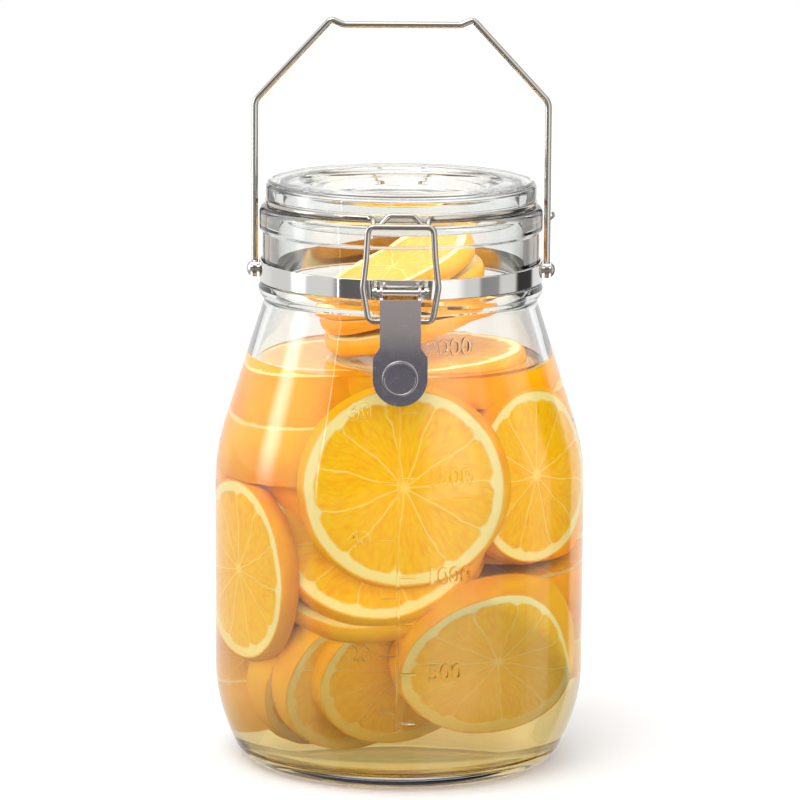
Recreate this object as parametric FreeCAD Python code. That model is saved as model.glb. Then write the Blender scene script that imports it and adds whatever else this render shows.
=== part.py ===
import FreeCAD, Part
import math
import os

# Clip-top glass storage jar with a swing-over wire handle, filled with citrus slices in juice.
# Millimetres, +Z up, origin at the middle of the base, the latch towards -Y.

# Glass jar
body_radius = 70.0
body_top = 118.0
wall = 4.0
heel_width = 9.6
heel_slope = 68.0
heel_round = 10.2
side_bend = 62.0
floor_thickness = 6.0
punt_inset = 17.4
punt_depth = 2.4
shoulder_angle = 17.8
shoulder_bend = 72.0
neck_bend = 14.0
neck_radius = 52.2
neck_wall = 5.7
neck_root_depth = 0.6
neck_root_rise = 1.541
bead_height = 6.2
bead_bulge = 2.1
band_to_bead = 0.2
band_to_flange = 11.8
flange_overhang = 1.1
flange_height = 9.0
flange_round = 2.6
mouth_round = 1.5

# Gasket and glass lid
gasket_seat_gap = 0.2
gasket_thickness = 1.7
gasket_width = 2.3
gasket_to_groove = 0.2
lid_inset = 2.4
lid_rim_height = 7.5
lid_rim_width = 13.5
lid_edge_round = 2.6
lid_groove_round = 0.4
lid_step_round = 1.6
lid_step_slope = 2.0
lid_step_foot_round = 1.2
lid_well_edge_round = 1.0
lid_groove_clearance = 0.5
plug_clearance = 1.5
plug_taper = 1.5
plug_depth = 6.0
plug_edge_round = 1.2
lid_step_drop = 3.0
lid_step_width = 7.4
lid_well_drop = 3.4
lid_well_inset = 4.0

# Stainless band round the neck
band_height = 7.5
band_gap = 0.4
band_thickness = 0.8
band_edge_round = 0.3
bracket_thickness = 0.8
saddle_gap = 0.05
running_gap = 0.08

# Lid wire, its hinge at the back and its catch at the front
lid_wire_radius = 1.0
lid_wire_over_flange = 0.5
lid_wire_inset = 0.6
lid_wire_bend = 2.4
lid_wire_leg_x = 9.2
lid_wire_hinge_bend = 1.5
lid_wire_tip_reach = 1.2
lid_ring_first_angle = 20.0
lid_ring_arc_angle = 70.0
hinge_behind_band = 4.1
hinge_below_flange = 8.5
rear_ear_gap = 0.7
rear_ear_thickness = 1.0
rear_ear_round = 2.6
rear_plate_below_hinge = 3.5
catch_inset = 2.6
catch_past_flange = 5.4
catch_drop = 4.1
catch_round = 1.6
catch_flare = 0.5
catch_arm_flare = 0.8
catch_root_flare = 1.5
catch_seat_inset = 0.73
catch_seat_rise = 1.22
hump_inset = 4.7
hump_past_flange = 2.9
hump_rise = 1.8

# Latch: bracket, pin, lever and loop
lever_pivot_past_band = 5.4
latch_pin_radius = 1.2
pin_head_radius = 1.9
pin_head_thickness = 0.6
front_ear_gap = 1.2
front_ear_thickness = 1.0
front_ear_round = 2.6
lever_half_width = 7.5
lever_sheet = 1.0
lever_ear_round = 2.5
lever_plate_drop = 2.35
lever_strap_length = 17.6
lever_tab_length = 21.0
lever_stand_off = 2.4
lever_lean = 0.7
lever_tab_lean = 3.6
lever_tab_overhang = 2.5
lever_tab_widening = 3.5
lever_flange_reach = 2.5
lever_tab_round = 2.0
emboss_radius = 6.2
emboss_width = 0.9
emboss_height = 0.35
loop_wire_radius = 1.125
loop_pivot_inset = 0.9
loop_pivot_drop = 10.75
loop_tip_inset = 1.8
loop_foot_gap = 2.0
loop_foot_bend = 2.6
loop_belly_gap = 4.1
loop_belly_share = 0.36
loop_belly_bend = 7.0
loop_waist_gap = 2.9
loop_waist_share = 0.66
loop_waist_bend = 12.0
loop_bar_gap = 2.2
loop_bar_bend = 2.4
latch_gap = 0.29
hook_angle = 62.0

# Carry handle
handle_wire_radius = 1.25
handle_side_gap = 0.35
handle_leg_foot_share = 0.7
handle_shoulder_bend = 5.0
handle_corner_bend = 1.9
handle_bar_bend = 4.0
handle_shoulder_over_lid = 29.4
handle_corner_rise = 30.7
handle_corner_inset = 28.5
handle_bar_drop = 2.0
handle_bar_inset = 4.6
eye_radius = 3.3
eye_thickness = 1.6
stud_radius = 1.5
stud_head_radius = 3.0
stud_head_height = 1.7
stud_head_gap = 0.75
stud_foot_gap = 0.5
hook_wire_radius = 0.55
hook_below_flange = 6.3
hook_rise = 3.7
hook_reach = 2.6
hook_bend = 0.8
hook_bend_share = 0.62
hook_tip_share = 0.72

# Contents
liquid_below_neck = 21.3
liquid_gap = 0.2
slice_thickness = 7.0
slice_bulge = 0.6
# centre x and y, height over the liquid, radius of the fruit, tilt right up, tilt back up
top_slices = [
    (11.0, -7.0, -1.4, 36.0, 5.0, 2.0),
    (4.0, 3.0, 15.0, 34.0, 19.0, 6.0),
    (0.5, 5.0, 23.1, 33.0, 21.0, 5.0),
    (-2.0, 2.0, 31.4, 32.0, 23.0, 7.0),
]

# Radii and heights that follow from the sizes above
shoulder_slope = math.tan(math.radians(shoulder_angle))
heel_rise = math.tan(math.radians(heel_slope))
neck_root_radius = neck_radius - neck_root_depth
neck_root_z = body_top + (body_radius - neck_root_radius) / shoulder_slope
mouth_radius = neck_radius - neck_wall
flange_radius = neck_radius + flange_overhang
lid_radius = flange_radius - lid_inset
band_inner_radius = neck_radius + band_gap
band_outer_radius = band_inner_radius + band_thickness
bead_bottom = neck_root_z + neck_root_rise
bead_top = bead_bottom + bead_height
band_bottom = bead_top + band_to_bead
band_top = band_bottom + band_height
band_middle = band_bottom + band_height / 2
flange_bottom = band_top + band_to_flange
flange_top = flange_bottom + flange_height
lid_bottom = flange_top + gasket_seat_gap + gasket_thickness
lid_top = lid_bottom + lid_rim_height
lid_wire_ring_radius = lid_radius - lid_wire_inset
lid_wire_ring_z = flange_top + lid_wire_over_flange + lid_wire_radius
hinge_y = band_outer_radius + hinge_behind_band
hinge_z = flange_top - hinge_below_flange
rear_ear_half_width = lid_wire_leg_x + lid_wire_radius + rear_ear_gap + rear_ear_thickness
lever_pivot_y = -band_outer_radius - lever_pivot_past_band
front_ear_half_width = lever_half_width + front_ear_gap + front_ear_thickness
loop_pivot_y = lever_pivot_y + loop_pivot_inset
loop_pivot_z = band_middle - loop_pivot_drop
loop_bar_half_width = front_ear_half_width + loop_bar_gap
catch_half_width = loop_bar_half_width - catch_inset
handle_half_width = band_outer_radius + handle_side_gap + handle_wire_radius
liquid_level = neck_root_z - liquid_below_neck


def vec(x, y, z):
    return FreeCAD.Vector(x, y, z)


# Straight runs joined by tangent arcs: each corner is (point, radius), and radius 0 keeps it sharp.
def rounded_edges(corners, closed=False):
    count = len(corners)
    stations = []
    for index, (point, radius) in enumerate(corners):
        is_end = not closed and index in (0, count - 1)
        if is_end or radius == 0:
            stations.append((point, None, point))
            continue
        back = (corners[index - 1][0] - point).normalize()
        ahead = (corners[(index + 1) % count][0] - point).normalize()
        half_angle = back.getAngle(ahead) / 2
        bisector = (back + ahead).normalize()
        reach = radius / math.tan(half_angle)
        middle = point + bisector * (radius / math.sin(half_angle) - radius)
        stations.append((point + back * reach, middle, point + ahead * reach))
    edges = []
    for index, (start, middle, end) in enumerate(stations):
        if middle is not None:
            edges.append(Part.Arc(start, middle, end).toShape())
        if index < count - 1 or closed:
            following = stations[(index + 1) % count][0]
            if end.distanceToPoint(following) > 0.0001:
                edges.append(Part.LineSegment(end, following).toShape())
    return edges


def turned(edges):
    face = Part.Face(Part.Wire(edges))
    return face.revolve(vec(0, 0, 0), vec(0, 0, 1), 360)


def turned_profile(corners):
    return turned(rounded_edges([(vec(r, 0, z), bend) for r, z, bend in corners], closed=True))


# Round wire along a path: a rod on each straight run and a piece of a torus on each arc.
def wire_tube(corners, radius):
    pieces = []
    for edge in rounded_edges(corners):
        start = edge.valueAt(edge.FirstParameter)
        direction = edge.tangentAt(edge.FirstParameter)
        section = Part.Face(Part.Wire(Part.makeCircle(radius, start, direction)))
        if isinstance(edge.Curve, Part.Line):
            pieces.append(section.extrude(direction * edge.Length))
        else:
            centre = edge.Curve.Center
            axis = (start - centre).cross(direction)
            angle = math.degrees(edge.Length / edge.Curve.Radius)
            pieces.append(section.revolve(centre, axis, angle))
    return joined(pieces)


def mirrored_path(half):
    other = [(vec(-point.x, point.y, point.z), radius) for point, radius in reversed(half)]
    return half + other


def rod_x(radius, x_from, x_to, y, z):
    return Part.makeCylinder(radius, x_to - x_from, vec(x_from, y, z), vec(1, 0, 0))


def plate_x(outline, x_from, x_to):
    corners = [(vec(x_from, y, z), 0) for y, z in outline]
    return Part.Face(Part.Wire(rounded_edges(corners, closed=True))).extrude(vec(x_to - x_from, 0, 0))


def both_sides(shape):
    return [shape, shape.mirror(vec(0, 0, 0), vec(1, 0, 0))]


def joined(shapes):
    return shapes[0].fuse(shapes[1:]).removeSplitter()


# Radius at which the heel's slanted line, moved in by an offset, meets a floor.
def heel_radius(offset, floor):
    return body_radius - heel_width - offset / math.sin(math.radians(heel_slope)) + floor / heel_rise


# Corners from the floor's edge up to the foot of the shoulder.
def lower_corners(offset, floor):
    side = body_radius - offset
    heel = heel_radius(offset, floor)
    return [
        (vec(heel, 0, floor), heel_round),
        (vec(side, 0, floor + (side - heel) * heel_rise), side_bend),
        (vec(side, 0, shoulder_height(side, offset)), shoulder_bend),
    ]


# Height at which the shoulder's slanted line stands at a radius, moved in by an offset.
def shoulder_height(radius, offset):
    slanted_offset = offset / math.cos(math.radians(shoulder_angle))
    return body_top + (body_radius - slanted_offset - radius) / shoulder_slope


# Inside of the glass, from the floor to a level.
def inner_solid(offset, top):
    floor = floor_thickness + offset - wall
    throat = mouth_radius + wall - offset
    above = flange_top + neck_bend
    solid = turned(rounded_edges([(vec(0, 0, floor), 0)] + lower_corners(offset, floor) + [
        (vec(throat, 0, shoulder_height(throat, offset)), neck_bend),
        (vec(throat, 0, above), 0),
        (vec(0, 0, above), 0),
    ], closed=True))
    reach = 2 * body_radius
    return solid.cut(Part.makeBox(2 * reach, 2 * reach, reach, vec(-reach, -reach, top)))


def jar():
    bead_middle = bead_bottom + bead_height / 2
    body = rounded_edges([(vec(0, 0, 0), 0)] + lower_corners(0, 0) + [
        (vec(neck_root_radius, 0, neck_root_z), neck_bend / 2),
        (vec(neck_root_radius, 0, bead_bottom), 0),
    ])
    bead = Part.Arc(vec(neck_root_radius, 0, bead_bottom),
                    vec(neck_root_radius + bead_bulge, 0, bead_middle),
                    vec(neck_radius, 0, bead_top)).toShape()
    rim = rounded_edges([
        (vec(neck_radius, 0, bead_top), 0),
        (vec(neck_radius, 0, flange_bottom - 1), 0),
        (vec(flange_radius, 0, flange_bottom), flange_round / 2),
        (vec(flange_radius, 0, flange_top), flange_round),
        (vec(0, 0, flange_top), 0),
        (vec(0, 0, 0), 0),
    ])
    glass = turned(body + [bead] + rim)
    punt_radius = body_radius - heel_width - punt_inset
    punt = Part.makeCone(punt_radius, punt_radius - 3 * punt_depth, punt_depth)
    mouth = Part.makeCone(mouth_radius - mouth_round, mouth_radius + mouth_round, 2 * mouth_round,
                          vec(0, 0, flange_top - 2 * mouth_round))
    return glass.cut([inner_solid(wall, flange_top + 1), punt, mouth])


# Bottom of the groove in the lid's edge that the lid wire lies in.
def groove_radius():
    return lid_wire_ring_radius - lid_wire_radius - lid_groove_clearance / 5


def gasket():
    low = flange_top + gasket_seat_gap
    outer = groove_radius() - gasket_to_groove
    inner = outer - gasket_width
    high = low + gasket_thickness
    return turned_profile([(inner, low, 0), (outer, low, 0), (outer, high, 0), (inner, high, 0)])


def lid():
    plug_top_radius = mouth_radius - plug_clearance
    plug_bottom = flange_top - plug_depth
    plug_bottom_radius = plug_top_radius - plug_taper
    groove_top = lid_wire_ring_z + lid_wire_radius + lid_groove_clearance
    rim_inner = lid_radius - lid_rim_width
    step_z = lid_top - lid_step_drop
    step_inner = rim_inner - lid_step_width
    well_z = step_z - lid_well_drop
    return turned_profile([
        (0, plug_bottom, 0),
        (plug_bottom_radius, plug_bottom, plug_edge_round),
        (plug_top_radius, lid_bottom, 0),
        (groove_radius(), lid_bottom, 0),
        (groove_radius(), groove_top, 0),
        (lid_radius, groove_top, lid_groove_round),
        (lid_radius, lid_top, lid_edge_round),
        (rim_inner, lid_top, lid_step_round),
        (rim_inner - lid_step_slope, step_z, lid_step_foot_round),
        (step_inner, step_z, lid_well_edge_round),
        (step_inner - lid_well_inset, well_z, lid_step_round),
        (0, well_z, 0),
    ])


# The wire dips under the loop's bar and rises behind it.
def catch_corners():
    return [
        (vec(catch_half_width + catch_flare, -flange_radius - catch_past_flange,
             lid_wire_ring_z - catch_drop), catch_round),
        (vec(catch_half_width - hump_inset, -flange_radius - hump_past_flange,
             lid_wire_ring_z + hump_rise), lid_wire_bend),
    ]


# The ring is drawn as the square-on corners that its arcs are tangent to.
def lid_wire():
    ring = lid_wire_ring_radius
    first_angle = math.radians(lid_ring_first_angle)
    step = math.radians(lid_ring_arc_angle)
    corner_reach = ring / math.cos(step / 2)
    front_x = catch_half_width + catch_root_flare
    tangent_x = ring * math.sin(first_angle)
    tangent_y = ring * math.cos(first_angle)
    front_y = tangent_y + (tangent_x - front_x) * math.tan(first_angle)
    rear_y = tangent_y + (tangent_x - lid_wire_leg_x) * math.tan(first_angle)
    tip_x = rear_ear_half_width + lid_wire_tip_reach
    curl_y = (front_y + flange_radius + catch_past_flange) / 2
    half = [
        (vec(tip_x, hinge_y, hinge_z), 0),
        (vec(lid_wire_leg_x, hinge_y, hinge_z), lid_wire_hinge_bend),
        (vec(lid_wire_leg_x, hinge_y, lid_wire_ring_z), lid_wire_bend),
        (vec(lid_wire_leg_x, rear_y, lid_wire_ring_z), lid_wire_bend),
    ]
    for turn in (1.5, 0.5):
        angle = first_angle + step * turn
        corner = vec(corner_reach * math.sin(angle), -corner_reach * math.cos(angle), lid_wire_ring_z)
        half.append((corner, ring))
    half += [
        (vec(front_x, -front_y, lid_wire_ring_z), lid_wire_bend),
        (vec(catch_half_width + catch_arm_flare, -curl_y, lid_wire_ring_z), lid_wire_bend),
    ] + catch_corners()
    return wire_tube(mirrored_path(half), lid_wire_radius)


def neck_band():
    band = turned_profile([
        (band_inner_radius, band_bottom, 0),
        (band_outer_radius, band_bottom, band_edge_round),
        (band_outer_radius, band_top, band_edge_round),
        (band_inner_radius, band_top, 0),
    ])
    reach = 2 * band_outer_radius
    stud_holes = rod_x(stud_radius + running_gap, -reach, reach, 0, band_middle)
    return band.cut(stud_holes)


# Sheet that lies on the outside of the band between two heights and is cut to a width.
def band_saddle(half_width, low, high, side):
    inner = band_outer_radius + saddle_gap
    outer = inner + bracket_thickness
    ring = Part.makeCylinder(outer, high - low, vec(0, 0, low))
    core = Part.makeCylinder(inner, high - low, vec(0, 0, low))
    window = Part.makeBox(2 * half_width, outer, high - low, vec(-half_width, 0, low))
    if side < 0:
        window = window.mirror(vec(0, 0, 0), vec(0, 1, 0))
    return ring.cut(core).common(window)


def front_bracket():
    saddle = band_saddle(front_ear_half_width, band_bottom, band_top, -1)
    inner_x = front_ear_half_width - front_ear_thickness
    root_y = -math.sqrt(band_outer_radius ** 2 - inner_x ** 2) - bracket_thickness / 2
    ear = joined([
        plate_x([(root_y, band_bottom), (lever_pivot_y, band_middle - front_ear_round),
                 (lever_pivot_y, band_middle + front_ear_round), (root_y, band_top)],
                inner_x, front_ear_half_width),
        rod_x(front_ear_round, inner_x, front_ear_half_width, lever_pivot_y, band_middle),
    ])
    hole_radius = latch_pin_radius + running_gap
    hole = rod_x(hole_radius, -body_radius, body_radius, lever_pivot_y, band_middle)
    return joined([saddle] + both_sides(ear)).cut(hole)


def latch_pin():
    reach = front_ear_half_width + running_gap
    shaft = rod_x(latch_pin_radius, -reach, reach, lever_pivot_y, band_middle)
    head = rod_x(pin_head_radius, reach, reach + pin_head_thickness, lever_pivot_y, band_middle)
    return joined([shaft] + both_sides(head))


def rear_bracket():
    plate_top = hinge_z - rear_plate_below_hinge
    saddle = band_saddle(rear_ear_half_width, band_bottom, plate_top, 1)
    inner_x = rear_ear_half_width - rear_ear_thickness
    root_y = math.sqrt(band_outer_radius ** 2 - inner_x ** 2) + bracket_thickness / 2
    ear = joined([
        plate_x([(root_y, band_top), (hinge_y + rear_ear_round, hinge_z - rear_ear_round),
                 (hinge_y + rear_ear_round, hinge_z), (hinge_y - rear_ear_round, hinge_z),
                 (root_y, plate_top)], inner_x, rear_ear_half_width),
        rod_x(rear_ear_round, inner_x, rear_ear_half_width, hinge_y, hinge_z),
    ])
    hole_radius = lid_wire_radius + running_gap
    hole = rod_x(hole_radius, -body_radius, body_radius, hinge_y, hinge_z)
    return joined([saddle] + both_sides(ear)).cut(hole)


# Pressed channel with a flared, rounded thumb tab.
def latch_lever():
    top_y = lever_pivot_y - lever_stand_off
    crease_y = top_y - lever_lean
    tip_y = crease_y - lever_tab_lean
    flange_y = lever_pivot_y + lever_flange_reach
    plate_top = band_middle - lever_plate_drop
    crease_z = plate_top - lever_strap_length
    tip_z = crease_z - lever_tab_length
    tab_half_width = lever_half_width + lever_tab_overhang
    sheet = lever_sheet
    strap = plate_x([(top_y, plate_top), (crease_y, crease_z),
                     (crease_y + sheet, crease_z), (top_y + sheet, plate_top)],
                    -lever_half_width, lever_half_width)
    tab = plate_x([(crease_y, crease_z), (tip_y, tip_z),
                   (tip_y + sheet, tip_z), (crease_y + sheet, crease_z)],
                  -tab_half_width, tab_half_width)
    wide_z = crease_z - lever_tab_widening
    outline = rounded_edges([
        (vec(-lever_half_width, -body_radius, crease_z), 0),
        (vec(lever_half_width, -body_radius, crease_z), 0),
        (vec(tab_half_width, -body_radius, wide_z), lever_tab_round),
        (vec(tab_half_width, -body_radius, tip_z), tab_half_width - 0.01),
        (vec(-tab_half_width, -body_radius, tip_z), tab_half_width - 0.01),
        (vec(-tab_half_width, -body_radius, wide_z), lever_tab_round),
    ], closed=True)
    blank = Part.Face(Part.Wire(outline)).extrude(vec(0, body_radius, 0))
    inner_x = lever_half_width - sheet
    flange = joined([
        plate_x([(top_y, plate_top), (crease_y, crease_z),
                 (crease_y + sheet, crease_z),
                 (flange_y, loop_pivot_z - lever_flange_reach),
                 (flange_y, band_middle), (lever_pivot_y, band_middle)],
                inner_x, lever_half_width),
        rod_x(lever_ear_round, inner_x, lever_half_width, lever_pivot_y, band_middle),
    ])
    tilt = math.atan2(lever_tab_lean, crease_z - tip_z)
    outward = vec(0, -math.cos(tilt), -math.sin(tilt))
    centre_z = tip_z + tab_half_width
    centre_y = tip_y + (centre_z - tip_z) * math.tan(tilt)
    seat = vec(0, centre_y, centre_z) - outward * (sheet / 2)
    raised = Part.makeCylinder(emboss_radius, emboss_height + sheet / 2, seat, outward)
    inside = Part.makeCylinder(emboss_radius - emboss_width, sheet * 2, seat - outward * sheet, outward)
    emboss = raised.cut(inside)
    lever = joined([strap, tab.common(blank), emboss] + both_sides(flange))
    pivot_hole = rod_x(latch_pin_radius + running_gap, -body_radius, body_radius,
                       lever_pivot_y, band_middle)
    loop_hole = rod_x(loop_wire_radius + running_gap, -body_radius, body_radius,
                      loop_pivot_y, loop_pivot_z)
    return lever.cut([pivot_hole, loop_hole])


# The bar stands a small gap off the bend of the catch that it hooks over.
def loop_bar_place():
    reach = lid_wire_radius + loop_wire_radius + latch_gap
    angle = math.radians(hook_angle)
    seat_y = -flange_radius - catch_past_flange + catch_seat_inset
    seat_z = lid_wire_ring_z - catch_drop + catch_seat_rise
    return seat_y - reach * math.sin(angle), seat_z + reach * math.cos(angle)


def latch_loop():
    bar_y, bar_z = loop_bar_place()
    rise_y = bar_y - loop_pivot_y
    rise_z = bar_z - loop_pivot_z

    def along(x, share):
        return vec(x, loop_pivot_y + rise_y * share, loop_pivot_z + rise_z * share)

    half = [
        (along(lever_half_width - loop_tip_inset, 0), 0),
        (along(front_ear_half_width + loop_foot_gap, 0), loop_foot_bend),
        (along(front_ear_half_width + loop_belly_gap, loop_belly_share), loop_belly_bend),
        (along(front_ear_half_width + loop_waist_gap, loop_waist_share), loop_waist_bend),
        (along(loop_bar_half_width, 1), loop_bar_bend),
    ]
    return wire_tube(mirrored_path(half), loop_wire_radius)


def stud():
    head_x = handle_half_width + eye_thickness / 2 + stud_head_gap
    inner_x = neck_radius + stud_foot_gap
    shaft = rod_x(stud_radius, inner_x, head_x + stud_head_height / 2, 0, band_middle)
    ball_radius = (stud_head_radius ** 2 + stud_head_height ** 2) / (2 * stud_head_height)
    ball = Part.makeSphere(ball_radius, vec(head_x + stud_head_height - ball_radius, 0, band_middle))
    beyond = Part.makeBox(2 * ball_radius, 4 * ball_radius, 4 * ball_radius,
                          vec(head_x, -2 * ball_radius, band_middle - 2 * ball_radius))
    return joined([shaft, ball.common(beyond)])


def handle():
    leg_foot = band_middle + eye_radius * handle_leg_foot_share
    shoulder_z = lid_top + handle_shoulder_over_lid
    corner_x = handle_half_width - handle_corner_inset
    corner_z = shoulder_z + handle_corner_rise
    half = [
        (vec(handle_half_width, 0, leg_foot), 0),
        (vec(handle_half_width, 0, shoulder_z), handle_shoulder_bend),
        (vec(corner_x, 0, corner_z), handle_corner_bend),
        (vec(corner_x - handle_bar_inset, 0, corner_z - handle_bar_drop), handle_bar_bend),
    ]
    bail = wire_tube(mirrored_path(half), handle_wire_radius)
    eye = rod_x(eye_radius, handle_half_width - eye_thickness / 2,
                handle_half_width + eye_thickness / 2, 0, band_middle)
    hook_foot_z = flange_top - hook_below_flange
    hook = wire_tube([
        (vec(handle_half_width, 0, hook_foot_z), 0),
        (vec(handle_half_width + hook_reach, 0, hook_foot_z + hook_rise * hook_bend_share),
         hook_bend),
        (vec(handle_half_width + hook_reach * hook_tip_share, 0, hook_foot_z + hook_rise), 0),
    ], hook_wire_radius)
    hole = rod_x(stud_radius + running_gap, -body_radius, body_radius, 0, band_middle)
    return joined([bail, hook] + both_sides(eye)).cut(hole)


# Disc cut from a round fruit: flat faces and a slightly bulging skin.
def fruit_slice(placing, grow=0.0):
    x, y, over_liquid, fruit_radius, right_up, back_up = placing
    radius = fruit_radius + grow
    half = slice_thickness / 2 + grow
    skin = Part.Arc(vec(radius - slice_bulge, 0, -half), vec(radius, 0, 0),
                    vec(radius - slice_bulge, 0, half)).toShape()
    rest = rounded_edges([(vec(radius - slice_bulge, 0, half), 0), (vec(0, 0, half), 0),
                          (vec(0, 0, -half), 0), (vec(radius - slice_bulge, 0, -half), 0)])
    disc = turned([skin] + rest)
    disc.rotate(vec(0, 0, 0), vec(0, 1, 0), -right_up)
    disc.rotate(vec(0, 0, 0), vec(1, 0, 0), back_up)
    disc.translate(vec(x, y, liquid_level + over_liquid))
    return disc


def liquid():
    fill = inner_solid(wall + liquid_gap, liquid_level)
    return fill.cut([fruit_slice(placing, liquid_gap) for placing in top_slices])


def model():
    right_stud = stud()
    nodes = {
        "jar": jar(),
        "gasket": gasket(),
        "lid": lid(),
        "lid_wire": lid_wire(),
        "neck_band": neck_band(),
        "front_bracket": front_bracket(),
        "rear_bracket": rear_bracket(),
        "latch_pin": latch_pin(),
        "latch_lever": latch_lever(),
        "latch_loop": latch_loop(),
        "stud_right": right_stud,
        "stud_left": right_stud.mirror(vec(0, 0, 0), vec(1, 0, 0)),
        "handle": handle(),
        "liquid": liquid(),
    }
    for number, placing in enumerate(top_slices, 1):
        nodes[f"citrus_slice_{number}"] = fruit_slice(placing)
    return nodes


os.makedirs("parts", exist_ok=True)
for name, shape in model().items():
    solids = shape.Solids
    print(name, len(solids), "solid", round(shape.Volume, 1), "mm3", shape.isValid())
    shape.exportStep(f"parts/{name}.step")
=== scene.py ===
import bpy
import math
from mathutils import Matrix, Vector


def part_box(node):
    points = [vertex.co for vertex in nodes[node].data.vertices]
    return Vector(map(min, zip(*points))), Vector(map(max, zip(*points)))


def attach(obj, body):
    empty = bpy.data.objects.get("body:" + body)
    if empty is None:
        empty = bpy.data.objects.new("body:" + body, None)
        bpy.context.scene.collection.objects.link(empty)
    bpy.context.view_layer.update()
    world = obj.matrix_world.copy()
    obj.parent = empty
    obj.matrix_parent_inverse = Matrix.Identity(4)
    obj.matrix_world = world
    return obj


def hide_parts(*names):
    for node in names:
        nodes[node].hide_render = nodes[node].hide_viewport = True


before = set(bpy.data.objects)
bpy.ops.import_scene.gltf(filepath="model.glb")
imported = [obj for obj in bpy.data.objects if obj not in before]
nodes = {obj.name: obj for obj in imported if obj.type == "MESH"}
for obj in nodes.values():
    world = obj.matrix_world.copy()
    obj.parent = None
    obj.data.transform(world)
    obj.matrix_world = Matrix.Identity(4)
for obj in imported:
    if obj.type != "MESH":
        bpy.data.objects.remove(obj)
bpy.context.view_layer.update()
mm = 0.001
outlineStep = 6
smallOutlineStep = 20


def say(stage):
    print("scene:", stage)


def selectNothing():
    if bpy.context.object and bpy.context.object.mode != "OBJECT":
        bpy.ops.object.mode_set(mode="OBJECT")
    bpy.ops.object.select_all(action="DESELECT")


def pick(piece):
    selectNothing()
    piece.select_set(True)
    bpy.context.view_layer.objects.active = piece
    return piece


def applyPlace(piece):
    pick(piece)
    bpy.ops.object.transform_apply(location=True, rotation=True, scale=True)
    return piece


def smooth(piece, angle=35):
    pick(piece)
    bpy.ops.object.shade_smooth_by_angle(angle=math.radians(angle))
    return piece


def joinPieces(pieces, name):
    pick(pieces[0])
    for piece in pieces:
        piece.select_set(True)
    bpy.ops.object.join()
    whole = bpy.context.object
    whole.name = name
    whole.data.name = name
    return applyPlace(whole)


# corners are (radius, height, rounding) in millimetres, and each rounding becomes a short arc
def roundedOutline(corners, stepDegrees):
    points = []
    for index, (r, z, rounding) in enumerate(corners):
        here = Vector((r, z))
        if rounding == 0 or index in (0, len(corners) - 1):
            points.append(here)
            continue
        back = (Vector(corners[index - 1][:2]) - here).normalized()
        ahead = (Vector(corners[index + 1][:2]) - here).normalized()
        half = back.angle(ahead) / 2
        if half > math.radians(89.9):
            points.append(here)
            continue
        centre = here + (back + ahead).normalized() * (rounding / math.sin(half))
        first = here + back * (rounding / math.tan(half)) - centre
        last = here + ahead * (rounding / math.tan(half)) - centre
        sweep = first.angle_signed(last)
        count = max(2, math.ceil(math.degrees(abs(sweep)) / stepDegrees))
        for step in range(count + 1):
            turn = Matrix.Rotation(-sweep * step / count, 2)
            points.append(centre + turn @ first)
    return points


# a single point is drawn out along the outline and spun once round the upright axis
def spunPiece(name, outline, steps):
    selectNothing()
    start = Vector((outline[0][0] * mm, 0, outline[0][1] * mm))
    bpy.ops.mesh.primitive_plane_add(size=0.001, location=start)
    piece = bpy.context.object
    applyPlace(piece)
    bpy.ops.object.mode_set(mode="EDIT")
    bpy.ops.mesh.select_all(action="SELECT")
    bpy.ops.mesh.merge(type="CENTER")
    previous = Vector(outline[0])
    for point in outline[1:]:
        ahead = (Vector(point) - previous) * mm
        bpy.ops.mesh.extrude_region_move(TRANSFORM_OT_translate={"value": (ahead.x, 0, ahead.y)})
        previous = Vector(point)
    bpy.ops.mesh.select_all(action="SELECT")
    bpy.ops.mesh.spin(steps=steps, angle=math.tau, center=(0, 0, 0), axis=(0, 0, 1))
    bpy.ops.mesh.select_all(action="SELECT")
    bpy.ops.mesh.remove_doubles(threshold=0.000004)
    bpy.ops.mesh.normals_make_consistent(inside=False)
    bpy.ops.object.mode_set(mode="OBJECT")
    piece.name = name
    piece.data.name = name
    return smooth(piece)


def applyModifier(piece, kind, name, **values):
    pick(piece)
    modifier = piece.modifiers.new(name, kind)
    for key, value in values.items():
        setattr(modifier, key, value)
    bpy.ops.object.modifier_apply(modifier=name)
    return piece


# colours are written as 0 to 255 and turned into what the shader wants
def colour(red, green, blue):
    parts = []
    for part in (red, green, blue):
        share = part / 255
        parts.append(share / 12.92 if share <= 0.04045 else ((share + 0.055) / 1.055) ** 2.4)
    return (*parts, 1.0)


def newMaterial(name):
    material = bpy.data.materials.new(name)
    material.use_nodes = True
    return material, material.node_tree, material.node_tree.nodes["Principled BSDF"]


def addNode(tree, kind, **inputs):
    node = tree.nodes.new(kind)
    for key, value in inputs.items():
        if hasattr(node, key):
            setattr(node, key, value)
        else:
            node.inputs[key].default_value = value
    return node


def maths(tree, operation, first, second=None, third=None):
    node = tree.nodes.new("ShaderNodeMath")
    node.operation = operation
    for index, value in enumerate((first, second, third)):
        if value is None:
            continue
        if isinstance(value, (int, float)):
            node.inputs[index].default_value = value
        else:
            tree.links.new(value, node.inputs[index])
    return node.outputs[0]


# 0 below the low value, 1 above the high one, with a soft step between
def softStep(tree, value, low, high):
    node = tree.nodes.new("ShaderNodeMapRange")
    node.interpolation_type = "SMOOTHSTEP"
    node.inputs["From Min"].default_value = low
    node.inputs["From Max"].default_value = high
    tree.links.new(value, node.inputs["Value"])
    return node.outputs["Result"]


def mixColours(tree, mask, first, second):
    node = tree.nodes.new("ShaderNodeMix")
    node.data_type = "RGBA"
    for index, value in ((0, mask), (6, first), (7, second)):
        if isinstance(value, (int, float, tuple)):
            node.inputs[index].default_value = value
        else:
            tree.links.new(value, node.inputs[index])
    return node.outputs[2]


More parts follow.
